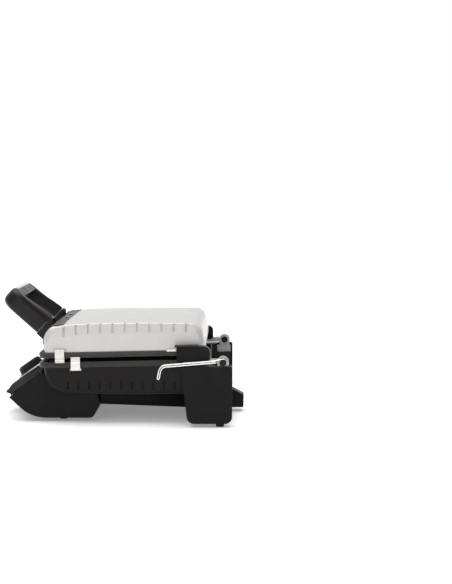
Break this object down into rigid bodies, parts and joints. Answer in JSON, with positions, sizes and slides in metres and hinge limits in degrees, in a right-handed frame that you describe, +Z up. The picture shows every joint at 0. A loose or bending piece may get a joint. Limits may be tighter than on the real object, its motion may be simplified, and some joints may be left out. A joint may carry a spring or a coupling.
{
  "type": "panini press",
  "caption": "Worktop panini press: a silver lid with a loop handle closes over two ribbed grill plates and opens flat on a floating hinge.",
  "frame": {"origin": "middle of the closed machine's bounding box, on the table", "axes": "+Z up, -Y toward the handle and the controls, X across the machine, +X being the machine's right seen from behind"},
  "size_m": [0.3638, 0.394, 0.2097],
  "materials": {
    "satin_silver": "satin silver paint, slightly orange-peeled",
    "black_housing": "fine-textured moulded plastic",
    "black_metal": "baked satin black enamel",
    "handle_black": "soft satin moulded plastic",
    "nonstick_grey": "grey non-stick coating with a fine speckle",
    "nonstick_dark": "dark non-stick coating with a fine speckle",
    "spring_steel": "bright spring steel",
    "chrome_wire": "polished chrome",
    "zinc_steel": "zinc-plated steel",
    "silver_trim": "silver-painted plastic",
    "aluminised_sheet": "aluminised steel sheet",
    "element_sheath": "heat-darkened steel sheath",
    "rubber_black": "soft moulded rubber",
    "ceramic": "unglazed ceramic",
    "wire_jacket": "glass-fibre sleeve",
    "red_lens": "clear red moulding",
    "green_lens": "clear green moulding"
  },
  "bodies": {
    "base": {"base_pan": "black_metal", "front_housing": "black_housing", "control_panel": "black_housing", "knob_bezel": "chrome_wire", "thermostat": "ceramic", "tray_runners": "black_housing", "lower_shell": "black_metal", "lower_plate": "nonstick_dark", "lower_element": "element_sheath", "lower_reflector": "aluminised_sheet", "thermal_fuse": "ceramic", "lower_clip_mounts": "zinc_steel", "lower_rear_catches": "zinc_steel", "left_tower": "black_housing", "right_tower": "black_housing", "left_hinge_guide": "zinc_steel", "right_hinge_guide": "zinc_steel", "rear_cover": "black_housing", "cord_gland": "rubber_black", "terminal_block": "ceramic", "wiring_loom": "wire_jacket", "front_feet": "rubber_black", "rear_feet": "rubber_black", "base_screws": "zinc_steel"},
    "hinge_carriage": {"left_hinge_slider": "zinc_steel", "right_hinge_slider": "zinc_steel", "left_pivot_pin": "black_metal", "right_pivot_pin": "black_metal"},
    "lid": {"lid_shell": "satin_silver", "upper_plate": "nonstick_grey", "upper_element": "element_sheath", "upper_reflector": "aluminised_sheet", "upper_clip_mounts": "zinc_steel", "upper_rear_catches": "zinc_steel", "upper_side_catches": "spring_steel", "handle_bracket": "handle_black", "handle_grip": "handle_black", "handle_lower_cap": "handle_black", "handle_trim": "silver_trim", "power_light": "red_lens", "ready_light": "green_lens", "handle_screws": "zinc_steel", "left_arm_block": "black_housing", "right_arm_block": "black_housing", "left_hinge_strap": "zinc_steel", "right_hinge_strap": "zinc_steel"},
    "knob": {"temperature_knob": "handle_black", "knob_pointer": "silver_trim", "knob_spindle": "zinc_steel"},
    "drip_tray": {"drip_tray": "black_housing"},
    "upper_left_clip": {"upper_left_clip": "spring_steel"},
    "upper_right_clip": {"upper_right_clip": "spring_steel"},
    "lower_left_clip": {"lower_left_clip": "spring_steel"},
    "lower_right_clip": {"lower_right_clip": "spring_steel"},
    "left_side_lever": {"left_side_lever": "chrome_wire"},
    "right_side_lever": {"right_side_lever": "chrome_wire"}
  },
  "joints": [
    {"name": "lid_float", "type": "slide", "parent": "base", "child": "hinge_carriage", "axis": [0, 0, 1], "range_m": [0, 0.018]},
    {"name": "lid_hinge", "type": "hinge", "parent": "hinge_carriage", "child": "lid", "pos_m": [0, 0.164, 0.102], "axis": [-1, 0, 0], "range_deg": [0, 178]},
    {"name": "upper_right_clip_swing", "type": "hinge", "parent": "lid", "child": "upper_right_clip", "pos_m": [0.1506, -0.09217, 0.11704], "axis": [0, -0.9998, -0.0209], "range_deg": [0, 35], "stiffness_Nm_per_rad": 0.02},
    {"name": "upper_left_clip_swing", "type": "hinge", "parent": "lid", "child": "upper_left_clip", "pos_m": [-0.1506, -0.09217, 0.11704], "axis": [0, 0.9998, 0.0209], "range_deg": [0, 35], "stiffness_Nm_per_rad": 0.02},
    {"name": "lower_right_clip_swing", "type": "hinge", "parent": "base", "child": "lower_right_clip", "pos_m": [0.1506, -0.06705, 0.08756], "axis": [0, 0.9998, 0.0209], "range_deg": [0, 35], "stiffness_Nm_per_rad": 0.02},
    {"name": "lower_left_clip_swing", "type": "hinge", "parent": "base", "child": "lower_left_clip", "pos_m": [-0.1506, -0.06705, 0.08756], "axis": [0, -0.9998, -0.0209], "range_deg": [0, 35], "stiffness_Nm_per_rad": 0.02},
    {"name": "right_side_lever_turn", "type": "hinge", "parent": "hinge_carriage", "child": "right_side_lever", "pos_m": [0.1782, 0.164, 0.102], "axis": [-1, 0, 0], "range_deg": [0, 80]},
    {"name": "left_side_lever_turn", "type": "hinge", "parent": "hinge_carriage", "child": "left_side_lever", "pos_m": [-0.1782, 0.164, 0.102], "axis": [-1, 0, 0], "range_deg": [0, 80]},
    {"name": "tray_slide", "type": "slide", "parent": "base", "child": "drip_tray", "axis": [0, -1, 0], "range_m": [0, 0.105]},
    {"name": "knob_turn", "type": "hinge", "parent": "base", "child": "knob", "pos_m": [0, -0.14828, 0.05944], "axis": [0, 0.5707, -0.8211], "range_deg": [0, 270]}
  ]
}
